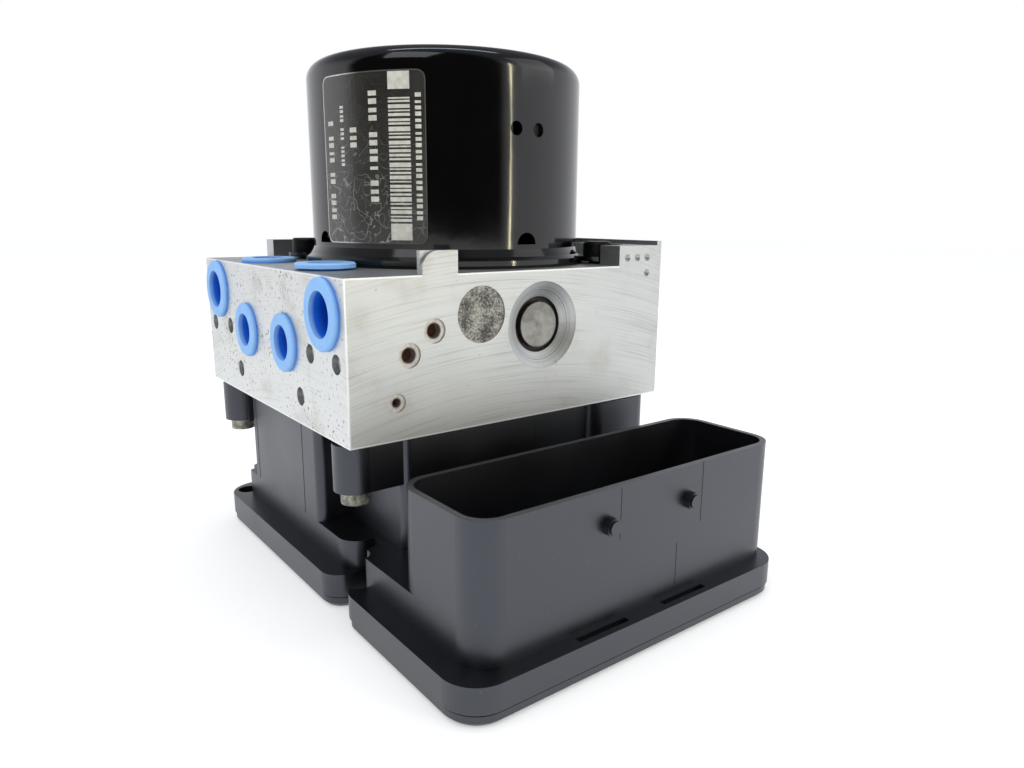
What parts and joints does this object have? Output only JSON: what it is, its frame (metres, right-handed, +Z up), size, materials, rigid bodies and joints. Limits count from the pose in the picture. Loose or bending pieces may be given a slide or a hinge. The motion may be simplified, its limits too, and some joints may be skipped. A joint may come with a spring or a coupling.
{
  "type": "anti-lock brake control module",
  "caption": "Aluminium valve block with a black pump motor on top, capped brake pipe ports, and a black plastic control unit below with an upright connector.",
  "frame": {"origin": "on the surface it stands on, under the motor's axis", "axes": "+Z up along the motor's axis, +X to the right along the front face, +Y to the back; the ports face -X and the connector stands in front"},
  "size_m": [0.1073, 0.1467, 0.1467],
  "materials": {
    "block": "milled, natural",
    "can": "gloss black",
    "screw_dark": "dark coated",
    "screw_pale": "zinc, dull",
    "cap": "light blue, slightly clear",
    "housing": "moulded, satin",
    "cover": "moulded, satin",
    "seal": "matt",
    "steel": "ground",
    "plug_steel": "pressed in, dull",
    "magnet": "ferrite, dull grey",
    "lamination": "stacked sheet",
    "copper": "enamelled copper",
    "carbon": "carbon brush",
    "carrier": "moulded",
    "sleeve": "moulded guide",
    "coil": "wound bobbin",
    "board": "circuit board",
    "chip": "moulded",
    "pin": "tinned"
  },
  "bodies": {
    "module": {"valve_block": "block", "motor_can": "can", "motor_seal": "seal", "motor_screws": "screw_dark", "motor_magnets": "magnet", "brush_plate": "carrier", "motor_brushes": "carbon", "upper_bearing": "steel", "lower_bearing": "steel", "pump_plugs": "plug_steel", "pump_sleeves": "sleeve", "pump_pistons": "steel", "pump_springs": "steel", "accumulator_covers": "plug_steel", "accumulator_spring_front": "steel", "accumulator_spring_rear": "steel", "drilling_plugs": "plug_steel", "drilling_stoppers": "steel", "damper_cover": "plug_steel", "large_port_caps": "cap", "small_port_caps": "cap", "inlet_valves": "steel", "outlet_valves": "steel", "changeover_valves": "steel", "valve_coils": "coil", "housing_seal": "seal", "ecu_housing": "housing", "ecu_cover": "cover", "cover_gasket": "seal", "circuit_board": "board", "board_components": "chip", "signal_pins": "pin", "power_pins": "pin", "housing_screws": "screw_pale", "pressure_sensor": "steel", "motor_contacts": "pin"},
    "rotor": {"rotor_shaft": "steel", "rotor_core": "lamination", "rotor_windings": "copper", "commutator": "copper", "eccentric_bearing": "steel"},
    "piston_front": {"accumulator_piston_front": "sleeve"},
    "piston_rear": {"accumulator_piston_rear": "sleeve"}
  },
  "joints": [
    {"name": "rotor_spin", "type": "hinge", "parent": "module", "child": "rotor", "pos_m": [0, 0, 0], "axis": [0, 0, 1], "continuous": true},
    {"name": "accumulator_front_slide", "type": "slide", "parent": "module", "child": "piston_front", "axis": [1, 0, 0], "range_m": [0, 0.006], "stiffness_N_per_m": 2000, "springref_m": -0.004, "deforming": ["accumulator_spring_front"]},
    {"name": "accumulator_rear_slide", "type": "slide", "parent": "module", "child": "piston_rear", "axis": [1, 0, 0], "range_m": [0, 0.006], "stiffness_N_per_m": 2000, "springref_m": -0.004, "deforming": ["accumulator_spring_rear"]}
  ]
}
